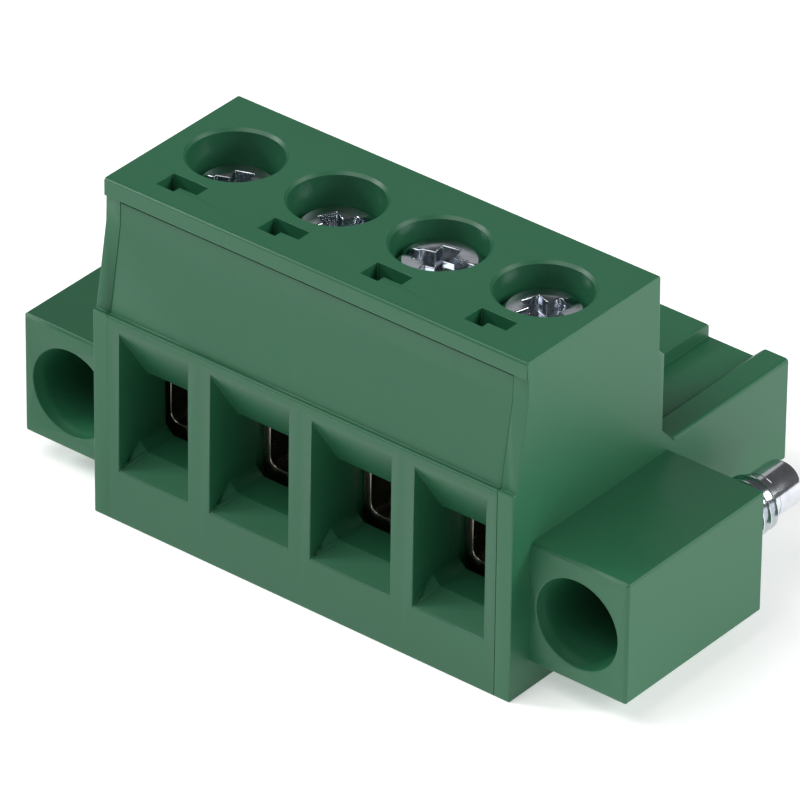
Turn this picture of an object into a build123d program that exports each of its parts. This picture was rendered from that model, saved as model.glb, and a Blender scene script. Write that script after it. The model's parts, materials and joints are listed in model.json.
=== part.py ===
from build123d import *
import os

os.makedirs("parts", exist_ok=True)

# Four-pole pluggable terminal block with screw flanges, millimetres.
# X runs along the row of poles, Y from the wire entries back to the plug, Z up towards the clamp screws.
# The origin is the middle of the overall footprint, on the underside.
# Depths are counted from the front face, so a depth is added to the front's own place.

# row of poles and overall sizes
pole_pitch = 5.08
pole_count = 4
end_margin = 0.29
flange_reach = 4.67
total_depth = 17.5
total_height = 15.05
edge_radius = 0.15
edge_chamfer = 0.12

# wire-entry front and the cover that snaps into it
ledge_height = 9.4
ledge_depth = 0.2
ledge_radius = 0.1
slope_drop = 1.95
slope_depth = 0.82
slope_end_depth = 0.85
lip_depth = 0.72
lip_height = 0.77
end_wall = 0.73
cover_gap = 0.05
cover_setback = 0.02
cover_depth = 2.85
panel_depth = 1.65

# wire funnels: a sharp rectangle at the front that closes to a passage with bevelled lower corners;
# the cover is one moulding, kept as a panel on a rail and four funnels, which meet under the rail and
# between poles
rail_height = 0.3
roof_web = 0.3
funnel_width = 3.96
end_funnel_wall = 1.3
funnel_low = 2.37
funnel_mid = 4.5
passage_low = 2.86
passage_high = 6.1
ramp_depth = 1.25
roof_depth = 1.8
passage_corner = 0.4
mouth_corner = 0.01

# back of the body and the plug
body_back_top = 8.92
body_back = 9.3
step_drop = 3.75
step_rise = 0.3
step_lean = 0.06
plug_low = 2.45
plug_high = 7.15
groove_depth = 0.6
groove_width = 2.3
shoulder = 0.65
end_rib = 1.15
flank_foot = 0.1

# clamp chambers, screw holes and the pockets in the top face
chamber_low = 1.6
chamber_drop = 2.75
screw_depth = 5.33
screw_hole_radius = 1.95
screw_hole_rim = 0.12
pocket_left = -1.0
pocket_right = 0.75
pocket_length = 0.7
pocket_wall = 0.62
pocket_drop = 0.9
pit_right = -0.12
pit_length = 1.06
pit_drop = 2.2

# clamp cages and clamp screws
cage_width = 3.94
cage_depth = 4.26
cage_wall = 0.42
cage_low = 2.5
cage_base = 0.7
cage_window = 4.5
cage_top = 1.5
cage_radius = 0.65
window_radius = 0.4
cage_side_gap = 0.08
cage_back_gap = 0.14
clamp_radius = 1.5
clamp_running_gap = 0.05
clamp_tip_chamfer = 0.25
clamp_head_radius = 1.78
clamp_head_height = 1.3
clamp_head_chamfer = 0.3
recess_width = 0.8
recess_length = 2.0
recess_drop = 0.75
slot_width = 0.5
slot_drop = 0.45
head_drops = [1.35, 1.25, 0.75, 0.95]
recess_angles = [20, 62, 12, 70]

# contacts: current bar under the screws, spring arms in the plug
bar_low = 6.25
bar_high = 7.0
bar_side_gap = 0.25
bar_front_gap = 0.1
seat_gap = 0.1
contact_wall = 0.7
contact_plate = 0.5
pin_height = 4.8
pin_opening = 1.6
plug_wall = 1.1
arm_thickness = 0.4
arm_spread = 1.3
arm_straight = 1.2
arm_pinch = 0.75
arm_flare = 1.1
arm_top_gap = 0.05
flare_length = 1.4

# flanges and their captive screws
flange_front = 1.2
flange_back = 9.78
flange_low = 1.26
flange_high = 6.77
flange_screw_offset = 2.24
flange_screw_z = 3.95
flange_bore_radius = 1.78
flange_mouth_radius = 1.96
mouth_depth = 0.45
mouth_slope = 0.2
web_front = 7.6
web_thickness = 1.0
web_hole_radius = 1.1
thread_room_radius = 1.4
flange_head_radius = 1.68
flange_head_height = 1.6
flange_slot_width = 0.5
flange_slot_drop = 0.6
shank_radius = 0.95
shank_end = 10.4
thread_radius = 1.25
thread_length = 2.5
point_radius = 1.0
point_length = 1.5
point_chamfer = 0.5

# places that follow from the sizes
front = -total_depth / 2
half_body = pole_count * pole_pitch / 2 + end_margin
slope_top = total_height - slope_drop
lip_bottom = total_height - lip_height
step_height = total_height - step_drop
chamber_high = total_height - chamber_drop
split_height = ledge_height - rail_height
funnel_high = split_height - roof_web
half_overall = half_body + flange_reach
half_recess = half_body - end_wall
half_cover = half_recess - cover_gap
pole_x = [(i - (pole_count - 1) / 2) * pole_pitch for i in range(pole_count)]
groove_floor = plug_high - groove_depth
cage_front = screw_depth - cage_depth / 2
chamber_width = cage_width + 2 * cage_side_gap
chamber_back = screw_depth + cage_depth / 2 + cage_back_gap
window_low = cage_low + cage_base
window_high = window_low + cage_window
cage_high = window_high + cage_top
half_bar = cage_width / 2 - cage_wall - bar_side_gap
bar_back = chamber_back + contact_wall
contact_end = total_depth - plug_wall
web_back = web_front + web_thickness
flange_screw_x = half_body + flange_screw_offset
past = 1.0  # how far a cut runs past the face that it opens


def block(x0, x1, y0, y1, z0, z1, mode=Mode.ADD):
    """Rectangular block between two corners; the depths y0 and y1 are counted from the front face."""
    with Locations(((x0 + x1) / 2, front + (y0 + y1) / 2, (z0 + z1) / 2)):
        Box(abs(x1 - x0), y1 - y0, z1 - z0, mode=mode)


def prism(points, x0, x1, mode=Mode.ADD):
    """Side profile of (depth, height) points carried from x0 to x1."""
    with BuildSketch(Plane.YZ.offset(x0), mode=Mode.PRIVATE) as outline:
        with BuildLine():
            Polyline(*[(front + y, z) for y, z in points], close=True)
        make_face()
    extrude(outline.sketch, amount=x1 - x0, mode=mode)


def upright(x, z0, z1, radius, end_radius=None, mode=Mode.ADD):
    """Upright cylinder or cone on a clamp screw's axis."""
    with Locations((x, front + screw_depth, (z0 + z1) / 2)):
        if end_radius is None:
            Cylinder(radius, z1 - z0, mode=mode)
        else:
            Cone(radius, end_radius, z1 - z0, mode=mode)


def lying(side, y0, y1, radius, end_radius=None, mode=Mode.ADD):
    """Cylinder or cone on a flange screw's axis, between two depths."""
    centre = (side * flange_screw_x, front + (y0 + y1) / 2, flange_screw_z)
    with Locations(Location(centre, (-90, 0, 0))):
        if end_radius is None:
            Cylinder(radius, y1 - y0, mode=mode)
        else:
            Cone(radius, end_radius, y1 - y0, mode=mode)


def passage_face(left, right, y, low, high, corner):
    """Lower part of a wire passage's cross-section at one depth, with its lower corners cut at 45 degrees."""
    with BuildSketch(Plane.XZ.offset(-(front + y)), mode=Mode.PRIVATE) as section:
        with BuildLine():
            Polyline((left + corner, low), (right - corner, low), (right, low + corner), (right, high),
                     (left, high), (left, low + corner), close=True)
        make_face()
    return section.sketch


# flanges: one moulding with the housing, kept as blocks that meet its end faces
for side, name in ((-1, "left"), (1, "right")):
    with BuildPart() as flange:
        block(side * half_body, side * half_overall, flange_front, flange_back, flange_low, flange_high)
        fillet([e for e in flange.edges().filter_by(Axis.Y) if abs(e.center().X) > half_overall - past],
               edge_radius)
        for end in (0, -1):
            outline = flange.faces().filter_by(Axis.Y).group_by(Axis.Y)[end].edges()
            chamfer([e for e in outline if abs(e.center().X) > half_body + edge_chamfer], edge_chamfer)
        # a wider mouth with a sloping step, the screw's room, a web, and room for the thread
        mouth = flange_front + mouth_depth
        lying(side, flange_front - past, mouth, flange_mouth_radius, mode=Mode.SUBTRACT)
        lying(side, mouth, mouth + mouth_slope, flange_mouth_radius, flange_bore_radius,
              mode=Mode.SUBTRACT)
        lying(side, flange_front, web_front, flange_bore_radius, mode=Mode.SUBTRACT)
        lying(side, web_front - past, web_back + past, web_hole_radius, mode=Mode.SUBTRACT)
        lying(side, web_back, flange_back + past, thread_room_radius, mode=Mode.SUBTRACT)
    flange.part.label = f"flange_{name}"
    export_step(flange.part, f"parts/flange_{name}.step")

side_profile = [
    (0, 0), (0, ledge_height), (ledge_depth, ledge_height), (slope_depth, slope_top),
    (slope_end_depth, lip_bottom), (lip_depth, lip_bottom), (lip_depth, total_height),
    (body_back_top, total_height), (body_back_top + step_lean, step_height + step_rise),
    (body_back, step_height), (body_back, plug_high + shoulder), (body_back + shoulder, plug_high),
    (total_depth, plug_high), (total_depth, plug_low), (flange_back, plug_low), (flange_back, 0),
]

# moulded housing: top block, end walls and plug
with BuildPart() as housing:
    prism(side_profile, -half_body, half_body)
    fillet(housing.edges().filter_by(Axis.X).group_by(Axis.Z)[-1], edge_radius)
    plug_sides = housing.edges().filter_by(Axis.Y).filter_by(lambda e: e.center().Y > front + flange_back)
    fillet(plug_sides, edge_radius)
    chamfer(housing.faces().sort_by(Axis.Y)[-1].edges(), edge_chamfer)
    # grooves along the top of the plug, one above each pole; the outer two have a sloping outer flank
    for x in pole_x:
        block(x - groove_width / 2, x + groove_width / 2, body_back, total_depth + past,
              groove_floor, plug_high + shoulder, mode=Mode.SUBTRACT)
    for side in (-1, 1):
        edge = pole_x[-1] + groove_width / 2
        with BuildSketch(Plane.XZ.offset(-(front + body_back)), mode=Mode.PRIVATE) as flank:
            with BuildLine():
                Polyline((side * (edge - 2 * flank_foot), groove_floor),
                         (side * (edge - flank_foot), groove_floor),
                         (side * (half_body - end_rib), plug_high),
                         (side * (half_body - end_rib), plug_high + shoulder),
                         (side * (edge - 2 * flank_foot), plug_high + shoulder), close=True)
            make_face()
        extrude(flank.sketch, amount=-(total_depth - body_back + past), mode=Mode.SUBTRACT)
    # recess that takes the front cover
    block(-half_recess, half_recess, -past, cover_depth, -past, ledge_height, mode=Mode.SUBTRACT)
    block(-half_recess, half_recess, -past, panel_depth, ledge_height - past, lip_bottom,
          mode=Mode.SUBTRACT)
    for x in pole_x:
        half_chamber = chamber_width / 2
        block(x - half_chamber, x + half_chamber, cover_depth - past, chamber_back,
              chamber_low, ledge_height, mode=Mode.SUBTRACT)
        block(x - half_chamber, x + half_chamber, cover_depth, chamber_back,
              ledge_height - past, chamber_high, mode=Mode.SUBTRACT)
        upright(x, chamber_high - past, total_height + past, screw_hole_radius, mode=Mode.SUBTRACT)
        upright(x, total_height - screw_hole_rim, total_height, screw_hole_radius,
                screw_hole_radius + screw_hole_rim, mode=Mode.SUBTRACT)
        # seat of the current bar, tunnel of the spring arms, opening for the header pin
        half_seat = half_bar + seat_gap
        tunnel_low = pin_height - arm_spread - seat_gap
        tunnel_high = pin_height + arm_spread + arm_top_gap
        block(x - half_seat, x + half_seat, chamber_back - past, bar_back, tunnel_low, bar_high,
              mode=Mode.SUBTRACT)
        block(x - half_seat, x + half_seat, bar_back - past, contact_end + seat_gap,
              tunnel_low, tunnel_high, mode=Mode.SUBTRACT)
        block(x - pin_opening / 2, x + pin_opening / 2, contact_end, total_depth + past,
              pin_height - pin_opening / 2, pin_height + pin_opening / 2, mode=Mode.SUBTRACT)
        # pocket in the top face ahead of the screw, with a deeper pit at its left end
        pocket_back = screw_depth - screw_hole_radius - pocket_wall
        block(x + pocket_left, x + pocket_right, pocket_back - pocket_length, pocket_back,
              total_height - pocket_drop, total_height + past, mode=Mode.SUBTRACT)
        block(x + pocket_left, x + pit_right, pocket_back - pit_length, pocket_back,
              total_height - pit_drop, total_height + past, mode=Mode.SUBTRACT)
housing.part.label = "housing"
export_step(housing.part, "parts/housing.step")

# upper part of the front cover: a sloping panel over a thick rail
cover_top = lip_bottom - cover_gap
plate_top = ledge_height - cover_gap
panel_profile = [
    (0, split_height), (0, ledge_height), (ledge_depth + cover_setback, ledge_height),
    (slope_depth + cover_setback, slope_top), (slope_end_depth + cover_setback, cover_top),
    (panel_depth, cover_top), (panel_depth, plate_top), (cover_depth, plate_top), (cover_depth, split_height),
]
with BuildPart() as front_cover:
    prism(panel_profile, -half_cover, half_cover)
    front_edges = front_cover.edges().filter_by(Axis.X).group_by(Axis.Y)[0]
    fillet(front_edges.sort_by(Axis.Z)[-1], ledge_radius)
front_cover.part.label = "front_cover"
export_step(front_cover.part, "parts/front_cover.step")

# lower part of the front cover: one wire funnel for each pole
for i, x in enumerate(pole_x):
    # the outermost two funnels are narrower on their outer side
    left = max(x - funnel_width / 2, end_funnel_wall - half_body)
    right = min(x + funnel_width / 2, half_body - end_funnel_wall)
    with BuildPart() as wire_funnel:
        block(max(x - pole_pitch / 2, -half_cover), min(x + pole_pitch / 2, half_cover), 0, cover_depth,
              0, split_height)
        # roof that slopes down to the passage, then the ramp that rises to the passage floor
        prism([(-past, funnel_mid), (-past, funnel_high), (0, funnel_high), (roof_depth, passage_high),
               (cover_depth + past, passage_high), (cover_depth + past, funnel_mid)], left, right,
              mode=Mode.SUBTRACT)
        entry = passage_face(left, right, 0, funnel_low, funnel_mid, mouth_corner)
        crest = passage_face(left, right, ramp_depth, passage_low, funnel_mid, passage_corner)
        loft([entry, crest], ruled=True, mode=Mode.SUBTRACT)
        extrude(crest, amount=-(cover_depth - ramp_depth), mode=Mode.SUBTRACT)
    wire_funnel.part.label = f"wire_funnel_{i + 1}"
    export_step(wire_funnel.part, f"parts/wire_funnel_{i + 1}.step")

for i, x in enumerate(pole_x):
    # rising clamp cage: bent steel loop with a threaded top
    with BuildPart() as clamp_cage:
        with BuildSketch(Plane.XZ.offset(-(front + cage_front))):
            with Locations((x, (cage_low + cage_high) / 2)):
                RectangleRounded(cage_width, cage_high - cage_low, cage_radius)
            with Locations((x, (window_low + window_high) / 2)):
                RectangleRounded(cage_width - 2 * cage_wall, cage_window, window_radius, mode=Mode.SUBTRACT)
        extrude(amount=-cage_depth)
        upright(x, window_high - past, cage_high + past, clamp_radius + clamp_running_gap,
                mode=Mode.SUBTRACT)
    clamp_cage.part.label = f"clamp_cage_{i + 1}"
    export_step(clamp_cage.part, f"parts/clamp_cage_{i + 1}.step")

    # clamp screw: round head with a cross recess and a slot, its tip at or just above the current bar
    head_top = total_height - head_drops[i]
    head_base = head_top - clamp_head_height
    tip = bar_high + max(head_drops) - head_drops[i]
    with BuildPart() as clamp_screw:
        upright(x, head_base, head_top, clamp_head_radius)
        chamfer(clamp_screw.edges().sort_by(Axis.Z)[-1], clamp_head_chamfer)
        upright(x, tip, head_base, clamp_radius)
        chamfer(clamp_screw.edges().sort_by(Axis.Z)[0], clamp_tip_chamfer)
        for turn in (0, 90):
            with Locations(Location((x, front + screw_depth, head_top), (0, 0, recess_angles[i] + turn))):
                Box(recess_length, recess_width, 2 * recess_drop, mode=Mode.SUBTRACT)
        with Locations(Location((x, front + screw_depth, head_top), (0, 0, recess_angles[i]))):
            Box(2 * clamp_head_radius + past, slot_width, 2 * slot_drop, mode=Mode.SUBTRACT)
    clamp_screw.part.label = f"clamp_screw_{i + 1}"
    export_step(clamp_screw.part, f"parts/clamp_screw_{i + 1}.step")

    # contact: current bar through the cage, a cross piece, and two spring arms for the header pin
    arm_start = bar_back + arm_straight
    pinch_place = contact_end - flare_length
    upper_arm = [(bar_back, arm_spread), (arm_start, arm_spread), (pinch_place, arm_pinch),
                 (contact_end, arm_flare), (contact_end, arm_flare - arm_thickness),
                 (pinch_place, arm_pinch - arm_thickness), (arm_start, arm_spread - arm_thickness),
                 (bar_back, arm_spread - arm_thickness)]
    lower_arm = [(y, -rise) for y, rise in reversed(upper_arm)]
    with BuildPart() as contact:
        prism([(cage_front + bar_front_gap, bar_low), (cage_front + bar_front_gap, bar_high),
               (bar_back, bar_high)]
              + [(y, pin_height + rise) for y, rise in upper_arm + lower_arm]
              + [(bar_back - contact_plate, pin_height - arm_spread), (bar_back - contact_plate, bar_low)],
              x - half_bar, x + half_bar)
    contact.part.label = f"contact_{i + 1}"
    export_step(contact.part, f"parts/contact_{i + 1}.step")

# captive flange screws: slotted head, slender shank, thread and pilot point
for side, name in ((-1, "left"), (1, "right")):
    thread_end = shank_end + thread_length
    with BuildPart() as flange_screw:
        lying(side, web_front - flange_head_height, web_front, flange_head_radius)
        lying(side, web_front, shank_end, shank_radius)
        lying(side, shank_end, thread_end, thread_radius)
        lying(side, thread_end, thread_end + point_length, point_radius)
        chamfer(flange_screw.edges().sort_by(Axis.Y)[-1], point_chamfer)
        with Locations((side * flange_screw_x, front + web_front - flange_head_height, flange_screw_z)):
            Box(2 * flange_head_radius + past, 2 * flange_slot_drop, flange_slot_width, mode=Mode.SUBTRACT)
    flange_screw.part.label = f"flange_screw_{name}"
    export_step(flange_screw.part, f"parts/flange_screw_{name}.step")
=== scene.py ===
import bmesh
import bpy
import json
import math
from mathutils import Matrix, Vector


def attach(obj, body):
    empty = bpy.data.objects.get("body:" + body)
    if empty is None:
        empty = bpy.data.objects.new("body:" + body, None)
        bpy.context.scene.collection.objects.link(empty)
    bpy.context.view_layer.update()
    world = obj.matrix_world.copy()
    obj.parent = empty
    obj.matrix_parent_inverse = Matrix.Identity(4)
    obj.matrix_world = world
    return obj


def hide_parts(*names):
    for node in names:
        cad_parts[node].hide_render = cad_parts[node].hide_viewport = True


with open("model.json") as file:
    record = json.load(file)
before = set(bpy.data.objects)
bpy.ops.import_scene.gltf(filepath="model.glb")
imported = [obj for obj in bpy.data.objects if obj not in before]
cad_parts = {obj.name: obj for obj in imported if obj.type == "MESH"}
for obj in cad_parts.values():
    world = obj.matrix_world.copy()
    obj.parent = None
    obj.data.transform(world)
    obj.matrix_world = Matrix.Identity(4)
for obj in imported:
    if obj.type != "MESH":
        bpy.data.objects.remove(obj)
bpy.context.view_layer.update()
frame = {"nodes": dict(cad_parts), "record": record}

MM = 0.001
X, Y, Z = 0, 1, 2
POLES = 4
POLE_PITCH = 5.08 * MM
POLE_NUMBERS = range(1, POLES + 1)
FUNNELS = [f"wire_funnel_{pole}" for pole in POLE_NUMBERS]
SIDES = (("left", -1), ("right", 1))

# where the mouldings' solids meet, and how far the cover's rim is moved to narrow its seams
HALF_BODY = 10.45 * MM
HALF_COVER = 9.67 * MM
HALF_RECESS = 9.72 * MM
COVER_SPLIT = 9.1 * MM
FRONT = -8.75 * MM
SEAM_CLOSING = {-1: 0.042 * MM, 1: 0.02 * MM}
BORE_MOUTH_DEPTH = 1.9 * MM
BORE_MOUTH_RADIUS = 2.0 * MM
LIP_BOTTOM = 14.28 * MM
COVER_TOP = 14.23 * MM
LIP_GAP = 0.11 * MM
FLANGE_ROOT = 0.3 * MM

# points this close are welded; more widely in the cover, where the funnels' lofts end in a point
WELD = 0.0002 * MM
MOUTH_CORNER = 0.02 * MM
# a point this close to a plane lies in it
NEAR = 10 * WELD

# flange screw: its axis, and depths and radii of its shank, thread and pilot point
END_SCREW_X = 12.69 * MM
END_SCREW_Z = 3.95 * MM
HEAD_SEAT = 7.6 * MM
SEAT_PLAY = 0.02 * MM
SHANK_CUT = 9.2 * MM
SHANK_RADIUS = 0.95 * MM
SHANK_OVERLAP = 0.1 * MM
SHANK_TAPER = 0.8
ROOT_RADIUS = 0.98 * MM
CREST_RADIUS = 1.25 * MM
THREAD_START = 10.5 * MM
THREAD_FULL = 10.8 * MM
THREAD_FADE = 12.4 * MM
THREAD_END = 12.8 * MM
THREAD_PITCH = 0.45 * MM
THREAD_TURNS = 4.7
THREAD_STEPS = 36
TOOTH_SINK = 0.9
TOOTH_FOOT = 0.22 * MM
TOOTH_CREST = 0.03 * MM
POINT_RADIUS = 1.0 * MM
POINT_END = 14.4 * MM
POINT_ROUND = 0.35 * MM
POINT_STEPS = 6

# edges sharper than the break angle are rounded, those down to the crease angle stay crisp,
# and the rest are smooth
BREAK_ANGLE = 50.0
CREASE_ANGLE = 19.0
FLAT_ANGLE = 0.5
BEVEL_LAYER = "bevel_weight_edge"
EDGE_BREAK = 0.05 * MM
CAGE_BREAK = 0.06 * MM
FACE_WEIGHT = 90

# where the camera stands, how long its lens is
CAMERA_AZIMUTH = math.radians(38.715)
CAMERA_ELEVATION = math.radians(32.654)
CAMERA_ROLL = math.radians(0.648)
CAMERA_DISTANCE = 354.887 * MM
CAMERA_TARGET = Vector((4.309, -7.969, 10.879)) * MM
CAMERA_LENS = 419.56
SENSOR_WIDTH = 36.0
CLIP_START = 0.01
CLIP_END = 50.0

# square lights around the part, on a pale floor in a dim room
LIGHT_DISTANCE = 0.7
LIGHT_AIM = Vector((0.0, 0.0, 8.0)) * MM
LARGE_LIGHT = 0.3
SMALL_LIGHT = 0.15
# name, azimuth from the front to the right, elevation, power in watts, size in metres
LIGHTS = (
    ("right_back", 118, 30, 2.5, LARGE_LIGHT),
    ("front_high", 5, 58, 0.9, LARGE_LIGHT),
    ("right_low", 90, 12, 0.54, LARGE_LIGHT),
    ("left_high", -35, 62, 1.3, LARGE_LIGHT),
    ("left_front", -63, 32, 1.8, SMALL_LIGHT),
    ("back_sheen", -141, 33, 0.12, LARGE_LIGHT),
)
FLOOR_SIZE = 3.0
FLOOR_GLOW = 0.41
ROOM_GLOW = 0.1

# finishes, as linear colours
DEEP_GREEN = (0.0155, 0.1170, 0.0520)
PALE_GREEN = (0.0220, 0.1430, 0.0670)
CLAMP_ZINC = (0.62, 0.66, 0.72)
FLANGE_ZINC = (0.86, 0.89, 0.95)
STEEL = (0.50, 0.44, 0.38)
TIN = (0.72, 0.71, 0.69)
GREY_PAPER = (0.93, 0.93, 0.93)
PALE_PAPER = (0.95, 0.95, 0.95)
WHITE = (1.0, 1.0, 1.0)
# painted shade: the front cover gets a copy of the housing's green, painted darker by the second
# factor
HOUSING_PAINTED_SHADE = 1.0
COVER_PAINTED_SHADE = 0.93

# the Mix node's sockets, which it has by number
MIX_SHARE, MIX_LOW, MIX_HIGH, MIX_RESULT = 0, 6, 7, 2


def rgba(colour, shade=1.0):
    """A colour, darkened by its shade, as the four values that a socket takes."""
    return tuple(shade * value for value in colour) + (1.0,)


class Signal:
    """One output socket of a finish's node tree; a sum or product on it adds a Math node."""

    def __init__(self, finish, socket):
        self.finish = finish
        self.socket = socket

    def _math(self, operation, other):
        return self.finish.node("ShaderNodeMath", {"operation": operation}, {0: self, 1: other})

    def __add__(self, other):
        return self._math("ADD", other)

    def __mul__(self, other):
        return self._math("MULTIPLY", other)

    __radd__ = __add__


class Finish:
    """A procedural material. Its patterns are laid out in the part's own frame, in metres."""

    def __init__(self, name):
        self.material = bpy.data.materials.new(name)
        self.material.use_nodes = True
        self.tree = self.material.node_tree
        self.shader = self.tree.nodes["Principled BSDF"]
        self.place = self.node("ShaderNodeTexCoord", output="Object")

    def node(self, kind, settings=None, sockets=None, output=0):
        """Adds a node, sets its settings, then gives its input sockets their values or links."""
        made = self.tree.nodes.new(kind)
        for setting, value in (settings or {}).items():
            setattr(made, setting, value)
        for socket, value in (sockets or {}).items():
            self.feed(made.inputs[socket], value)
        return Signal(self, made.outputs[output])

    def feed(self, socket, value):
        """Gives a socket a number, a colour or another node's output."""
        if isinstance(value, Signal):
            self.tree.links.new(value.socket, socket)
        else:
            socket.default_value = value

    def surface(self, **values):
        """Sets the shader's sockets; an underscore in a name stands for a space."""
        for name, value in values.items():
            self.feed(self.shader.inputs[name.replace("_", " ")], value)

    def clouds(self, size, detail=2.0, roughness=0.5, stretch=None):
        """Soft noise from 0 to 1, its blots about size across, longer along an axis scaled down."""
        place = self.place
        if stretch:
            place = self.node("ShaderNodeVectorMath", {"operation": "MULTIPLY"},
                              {0: place, 1: stretch})
        return self.node("ShaderNodeTexNoise", sockets={
            "Vector": place, "Scale": 1.0 / size, "Detail": detail, "Roughness": roughness})

    def blend(self, share, low, high):
        """Colour that goes from low to high as share goes from 0 to 1."""
        return self.node("ShaderNodeMix", {"data_type": "RGBA"},
                         {MIX_SHARE: share, MIX_LOW: low, MIX_HIGH: high}, output=MIX_RESULT)

    def relief(self, height, depth, strength):
        """Normal of a surface whose bumps are depth high."""
        return self.node("ShaderNodeBump", sockets={
            "Strength": strength, "Distance": depth, "Height": height}, output="Normal")


def moulded_green(name, light):
    """Satin polyamide: deep green with faint flow clouds, a fine grain and an uneven gloss. Its
    green is darkened by light, a factor of painted shade.
    """
    green = Finish(name)
    flow = green.clouds(size=5.5 * MM, detail=3.0)
    mottle = green.clouds(size=0.5 * MM, detail=2.0)
    share = flow * 0.75 + mottle * 0.25
    grain = green.clouds(size=0.06 * MM, detail=2.0, roughness=0.6)
    waves = green.clouds(size=1.6 * MM, detail=1.0)
    green.surface(
        Base_Color=green.blend(share, rgba(DEEP_GREEN, light), rgba(PALE_GREEN, light)),
        Roughness=0.36 + flow * 0.08 + grain * 0.05,
        IOR=1.5,
        Normal=green.relief(grain * 0.35 + waves * 0.65, depth=0.006 * MM, strength=0.7),
    )
    return green.material


def zinc_plate(name, colour, roughness, pit_depth):
    """Bright zinc: dark and bright chromate patches, a crystal sparkle and fine pits."""
    zinc = Finish(name)
    tint = zinc.clouds(size=0.7 * MM, detail=3.0)
    crystals = zinc.node("ShaderNodeTexVoronoi",
                         sockets={"Vector": zinc.place, "Scale": 1.0 / (0.12 * MM)})
    pits = zinc.clouds(size=0.05 * MM, detail=3.0, roughness=0.7)
    zinc.surface(
        Base_Color=zinc.blend(tint, rgba(colour, shade=0.6), rgba(colour)),
        Metallic=1.0,
        Roughness=roughness + tint * 0.06 + pits * 0.06,
        Normal=zinc.relief(crystals * 0.3 + pits * 0.7, depth=pit_depth, strength=0.8),
    )
    return zinc.material


def rolled_metal(name, colour, roughness):
    """Stamped strip: fine lines along its rolling direction, slightly uneven plating."""
    strip = Finish(name)
    lines = strip.clouds(size=0.1 * MM, detail=2.0, stretch=(1.0, 0.08, 1.0))
    patches = strip.clouds(size=1.2 * MM, detail=2.0)
    strip.surface(
        Base_Color=strip.blend(patches, rgba(colour, shade=0.8), rgba(colour)),
        Metallic=1.0,
        Roughness=roughness + lines * 0.1,
        Normal=strip.relief(lines, depth=0.004 * MM, strength=0.6),
    )
    return strip.material


def dress(node, material):
    """Gives a CAD node its finish."""
    for slot in frame["nodes"][node].material_slots:
        slot.material = material


def body_of_node(node):
    """The body that holds a CAD node."""
    groups = frame["record"]["behaviour"]["bodies"]
    return next(body for body, members in groups.items() if node in members)


def add_piece(name, mesh, material, *nodes):
    """Turns a finished bmesh into a piece that stands for CAD nodes and rides on their body."""
    data = bpy.data.meshes.new(name)
    mesh.to_mesh(data)
    mesh.free()
    data.materials.append(material)
    piece = bpy.data.objects.new(name, data)
    bpy.context.scene.collection.objects.link(piece)
    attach(piece, body_of_node(nodes[0]))
    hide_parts(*nodes)
    return piece


def node_mesh(*nodes):
    """The meshes of some CAD nodes in one bmesh, points that coincide welded."""
    mesh = bmesh.new()
    for node in nodes:
        mesh.from_mesh(frame["nodes"][node].data)
    bmesh.ops.remove_doubles(mesh, verts=mesh.verts, dist=WELD)
    return mesh


def lies_at(element, axis, place):
    """Whether an edge or a face lies wholly in one plane across an axis."""
    return all(abs(vertex.co[axis] - place) < NEAR for vertex in element.verts)


def cut(mesh, place, across, **options):
    """Cuts a whole mesh along a plane."""
    bmesh.ops.bisect_plane(mesh, geom=mesh.verts[:] + mesh.edges[:] + mesh.faces[:],
                           plane_co=place, plane_no=across, **options)


def add_mesh(mesh, other):
    """Puts a second bmesh into the first."""
    carrier = bpy.data.meshes.new("carrier")
    other.to_mesh(carrier)
    other.free()
    mesh.from_mesh(carrier)
    bpy.data.meshes.remove(carrier)


def finish_mesh(mesh, weld, flush=()):
    """Welds a mesh, joins its flat pairs of triangles, and weighs each sharp edge for the bevel.

    Edges that lie in a flush plane (axis, place) keep their corner."""
    bmesh.ops.remove_doubles(mesh, verts=mesh.verts, dist=weld)
    bmesh.ops.join_triangles(mesh, faces=mesh.faces,
                             angle_face_threshold=math.radians(FLAT_ANGLE),
                             angle_shape_threshold=math.pi)
    for face in mesh.faces:
        face.smooth = True
    mesh.normal_update()
    weight = mesh.edges.layers.float.new(BEVEL_LAYER)
    for edge in mesh.edges:
        angle = math.degrees(edge.calc_face_angle(0.0))
        kept = any(lies_at(edge, axis, place) for axis, place in flush)
        edge[weight] = 1.0 if angle > BREAK_ANGLE and not kept else 0.0
        edge.smooth = not (CREASE_ANGLE < angle < BREAK_ANGLE or (kept and angle > BREAK_ANGLE))
    return mesh


def plain_copy(node):
    """A CAD node's mesh, ready for its bevel."""
    return finish_mesh(node_mesh(node), WELD)


def in_bore_mouth(point):
    """Whether a point lies in the mouth of a flange's bore."""
    radius = math.hypot(abs(point.x) - END_SCREW_X, point.z - END_SCREW_Z)
    return point.y < FRONT + BORE_MOUTH_DEPTH and radius < BORE_MOUTH_RADIUS


def housing_mesh():
    """Housing and flanges as three shells in one mesh: the flanges' roots run on in the walls."""
    mesh = node_mesh("housing")
    flanges = node_mesh("flange_left", "flange_right")
    for vertex in flanges.verts:
        if abs(vertex.co.x) < HALF_BODY + NEAR:
            vertex.co.x -= math.copysign(FLANGE_ROOT, vertex.co.x)
    add_mesh(mesh, flanges)
    seams = [(X, side * HALF_RECESS) for _, side in SIDES] + [(Z, LIP_BOTTOM)]
    finish_mesh(mesh, WELD, flush=seams)
    weight = mesh.edges.layers.float[BEVEL_LAYER]
    for edge in mesh.edges:
        if edge[weight] == 0 and all(in_bore_mouth(vertex.co) for vertex in edge.verts):
            edge.smooth = True
    return mesh


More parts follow.
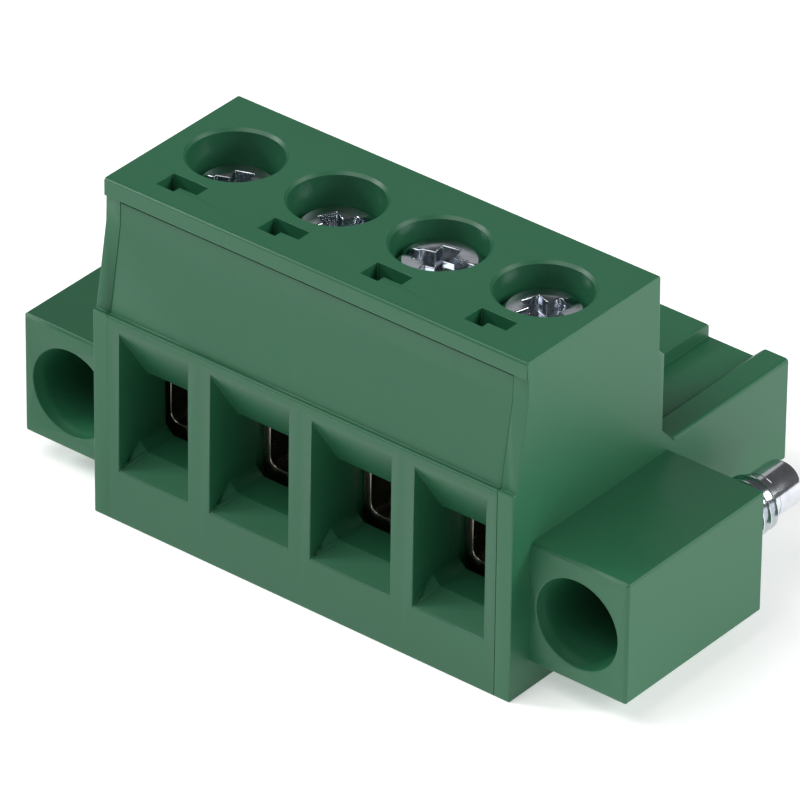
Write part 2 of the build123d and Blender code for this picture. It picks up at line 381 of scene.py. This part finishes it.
def cover_mesh():
    """Panel and wire funnels of the front cover as one closed shell, no faces between them."""
    mesh = node_mesh("front_cover")
    borders = [(pole - POLES / 2) * POLE_PITCH for pole in range(1, POLES)]
    for border in borders:
        cut(mesh, (border, 0, 0), (1, 0, 0))
    add_mesh(mesh, node_mesh(*FUNNELS))
    inner = [face for face in mesh.faces if lies_at(face, Z, COVER_SPLIT)]
    for border in borders:
        inner += [face for face in mesh.faces if lies_at(face, X, border)]
    bmesh.ops.delete(mesh, geom=inner, context="FACES")
    for vertex in mesh.verts:
        for side, closing in SEAM_CLOSING.items():
            if side * vertex.co.x > HALF_COVER - NEAR:
                vertex.co.x = side * (HALF_COVER + closing)
        if vertex.co.z > COVER_TOP - NEAR:
            vertex.co.z -= LIP_GAP
    seams = [(X, side * (HALF_COVER + closing)) for side, closing in SEAM_CLOSING.items()]
    seams.append((Z, COVER_TOP - LIP_GAP))
    return finish_mesh(mesh, MOUTH_CORNER, flush=seams)


def spun(profile, side, closed, angle, steps, rise=0.0):
    """A profile of (depth, radius) points turned about a flange screw's axis, rising by steps."""
    mesh = bmesh.new()
    verts = [mesh.verts.new((side * END_SCREW_X + radius, FRONT + depth, END_SCREW_Z))
             for depth, radius in profile]
    if closed:
        start = [mesh.faces.new(verts)]
        start += list(start[0].edges) + verts
    else:
        start = verts + [mesh.edges.new(pair) for pair in zip(verts, verts[1:])]
    bmesh.ops.spin(mesh, geom=start, cent=(side * END_SCREW_X, 0, END_SCREW_Z), axis=(0, 1, 0),
                   dvec=(0, rise, 0), angle=angle, steps=steps,
                   use_merge=not closed, use_duplicate=False)
    return mesh


def shade_turned(mesh):
    """Welds a turned mesh, faces it outwards and smooths it up to its creases."""
    bmesh.ops.remove_doubles(mesh, verts=mesh.verts, dist=WELD)
    bmesh.ops.recalc_face_normals(mesh, faces=mesh.faces)
    for face in mesh.faces:
        face.smooth = True
    mesh.normal_update()
    for edge in mesh.edges:
        edge.smooth = edge.calc_face_angle(0.0) < math.radians(CREASE_ANGLE)
    return mesh


def screw_head(node):
    """A flange screw's slotted head, cut from its solid behind the web that it sits on."""
    mesh = node_mesh(node)
    cut(mesh, (0, FRONT + SHANK_CUT, 0), (0, 1, 0), clear_outer=True)
    bmesh.ops.holes_fill(mesh, edges=[edge for edge in mesh.edges if edge.is_boundary])
    for vertex in mesh.verts:
        if abs(vertex.co.y - FRONT - HEAD_SEAT) < NEAR:
            vertex.co.y -= SEAT_PLAY
    return finish_mesh(mesh, WELD)


def screw_shank(side):
    """A flange screw's shank with its rounded point; it starts a little inside the head."""
    start = SHANK_CUT - SHANK_OVERLAP
    profile = [(start, 0.0), (start, SHANK_TAPER * SHANK_RADIUS), (SHANK_CUT, SHANK_RADIUS),
               (THREAD_START, SHANK_RADIUS), (THREAD_FULL, ROOT_RADIUS), (THREAD_END, ROOT_RADIUS),
               (THREAD_END, POINT_RADIUS)]
    for step in range(POINT_STEPS + 1):
        turn = math.radians(90 / POINT_STEPS * step)
        profile.append((POINT_END - POINT_ROUND * (1 - math.sin(turn)),
                        POINT_RADIUS - POINT_ROUND * (1 - math.cos(turn))))
    profile.append((POINT_END, 0.0))
    return shade_turned(spun(profile, side, False, math.tau, 2 * THREAD_STEPS))


def screw_thread(side):
    """A flange screw's thread: a ridge around the shank that grows at its start and fades out."""
    root = TOOTH_SINK * ROOT_RADIUS
    tooth = [(THREAD_START - TOOTH_FOOT, root), (THREAD_START - TOOTH_CREST, CREST_RADIUS),
             (THREAD_START + TOOTH_CREST, CREST_RADIUS), (THREAD_START + TOOTH_FOOT, root)]
    ridge = spun(tooth, side, True, math.tau * THREAD_TURNS, round(THREAD_STEPS * THREAD_TURNS),
                 THREAD_PITCH / THREAD_STEPS)
    axis = Vector((side * END_SCREW_X, 0, END_SCREW_Z))
    for vertex in ridge.verts:
        depth = vertex.co.y - FRONT
        grown = (depth - THREAD_START) / (THREAD_FULL - THREAD_START)
        left = (THREAD_END - depth) / (THREAD_END - THREAD_FADE)
        limit = root + (CREST_RADIUS - root) * max(0.0, min(1.0, grown, left))
        out = Vector((vertex.co.x, 0, vertex.co.z)) - axis
        if out.length > limit:
            out = out.normalized() * limit
            vertex.co.x, vertex.co.z = axis.x + out.x, axis.z + out.z
    return shade_turned(ridge)


def end_screw_mesh(node, side):
    """Flange screw: its slotted head from the solid, a turned shank and point, and a thread."""
    mesh = screw_head(node)
    add_mesh(mesh, screw_shank(side))
    add_mesh(mesh, screw_thread(side))
    return mesh


def round_edges(piece, width, segments=2):
    """Rounds the weighted edges of a piece a little, as a mould or a plating bath leaves them."""
    bevel = piece.modifiers.new("edge_break", "BEVEL")
    bevel.width = width
    bevel.segments = segments
    bevel.limit_method = "WEIGHT"
    bevel.use_clamp_overlap = False
    bevel.loop_slide = False
    bevel.miter_outer = "MITER_SHARP"
    weigh = piece.modifiers.new("face_weight", "WEIGHTED_NORMAL")
    weigh.keep_sharp = True
    weigh.weight = FACE_WEIGHT


def place_camera():
    """A long lens at the photograph's angle."""
    data = bpy.data.cameras.new("camera")
    data.lens = CAMERA_LENS
    data.sensor_width = SENSOR_WIDTH
    data.clip_start = CLIP_START
    data.clip_end = CLIP_END
    camera = bpy.data.objects.new("camera", data)
    turn = (Matrix.Rotation(CAMERA_AZIMUTH, 4, "Z")
            @ Matrix.Rotation(math.pi / 2 - CAMERA_ELEVATION, 4, "X")
            @ Matrix.Rotation(CAMERA_ROLL, 4, "Z"))
    back = turn.to_3x3() @ Vector((0, 0, 1))
    camera.matrix_world = Matrix.Translation(CAMERA_TARGET + back * CAMERA_DISTANCE) @ turn
    bpy.context.scene.collection.objects.link(camera)
    bpy.context.scene.camera = camera


def add_light(name, azimuth, elevation, power, size):
    """A square light that shines on the part; its azimuth turns from the front to the right."""
    data = bpy.data.lights.new(name, "AREA")
    data.shape = "SQUARE"
    data.size = size
    data.energy = power
    lamp = bpy.data.objects.new(name, data)
    turn = math.radians(azimuth)
    rise = math.radians(elevation)
    away = Vector((math.sin(turn) * math.cos(rise), -math.cos(turn) * math.cos(rise),
                   math.sin(rise)))
    lamp.location = away * LIGHT_DISTANCE
    lamp.rotation_euler = (away * LIGHT_DISTANCE - LIGHT_AIM).to_track_quat("Z", "Y").to_euler()
    bpy.context.scene.collection.objects.link(lamp)


def light_studio():
    """Plain pale floor that glows a little, the lights, and a dim grey room around."""
    floor_data = bpy.data.meshes.new("floor")
    sweep = bmesh.new()
    bmesh.ops.create_grid(sweep, x_segments=1, y_segments=1, size=FLOOR_SIZE)
    sweep.to_mesh(floor_data)
    sweep.free()
    paper = Finish("white_paper")
    fibre = paper.clouds(size=40 * MM, detail=2.0)
    paper.surface(
        Base_Color=paper.blend(fibre, rgba(GREY_PAPER), rgba(PALE_PAPER)),
        Roughness=0.9 + fibre * 0.05,
        Specular_IOR_Level=0.1,
        Emission_Color=rgba(WHITE),
        Emission_Strength=FLOOR_GLOW,
    )
    floor_data.materials.append(paper.material)
    floor = bpy.data.objects.new("floor", floor_data)
    bpy.context.scene.collection.objects.link(floor)
    world = bpy.data.worlds.new("room")
    world.use_nodes = True
    background = world.node_tree.nodes["Background"]
    background.inputs["Color"].default_value = rgba(WHITE)
    background.inputs["Strength"].default_value = ROOM_GLOW
    bpy.context.scene.world = world
    for light in LIGHTS:
        add_light(*light)
    bpy.context.scene.view_settings.view_transform = "Standard"
    bpy.context.scene.view_settings.look = "None"


place_camera()
light_studio()

housing_green = moulded_green("housing_green", HOUSING_PAINTED_SHADE)
# painted shade: the cover's copy of the green is painted darker than the housing's
cover_green = moulded_green("cover_green", COVER_PAINTED_SHADE)
screw_zinc = zinc_plate("clamp_screw_zinc", CLAMP_ZINC, roughness=0.07, pit_depth=0.005 * MM)
flange_zinc = zinc_plate("flange_screw_zinc", FLANGE_ZINC, roughness=0.08, pit_depth=0.002 * MM)
cage_steel = rolled_metal("cage_steel", STEEL, roughness=0.2)
contact_tin = rolled_metal("contact_tin", TIN, roughness=0.3)

housing = add_piece("housing_shell", housing_mesh(), housing_green,
                    "housing", "flange_left", "flange_right")
round_edges(housing, EDGE_BREAK)
cover = add_piece("cover_shell", cover_mesh(), cover_green, "front_cover", *FUNNELS)
round_edges(cover, EDGE_BREAK)
for pole in POLE_NUMBERS:
    node = f"clamp_cage_{pole}"
    cage = add_piece(f"cage_{pole}", plain_copy(node), cage_steel, node)
    round_edges(cage, CAGE_BREAK, segments=3)
    node = f"clamp_screw_{pole}"
    screw = add_piece(f"screw_{pole}", plain_copy(node), screw_zinc, node)
    round_edges(screw, EDGE_BREAK)
    dress(f"contact_{pole}", contact_tin)
for name, side in SIDES:
    node = f"flange_screw_{name}"
    screw = add_piece(f"end_screw_{name}", end_screw_mesh(node, side), flange_zinc, node)
    round_edges(screw, EDGE_BREAK)
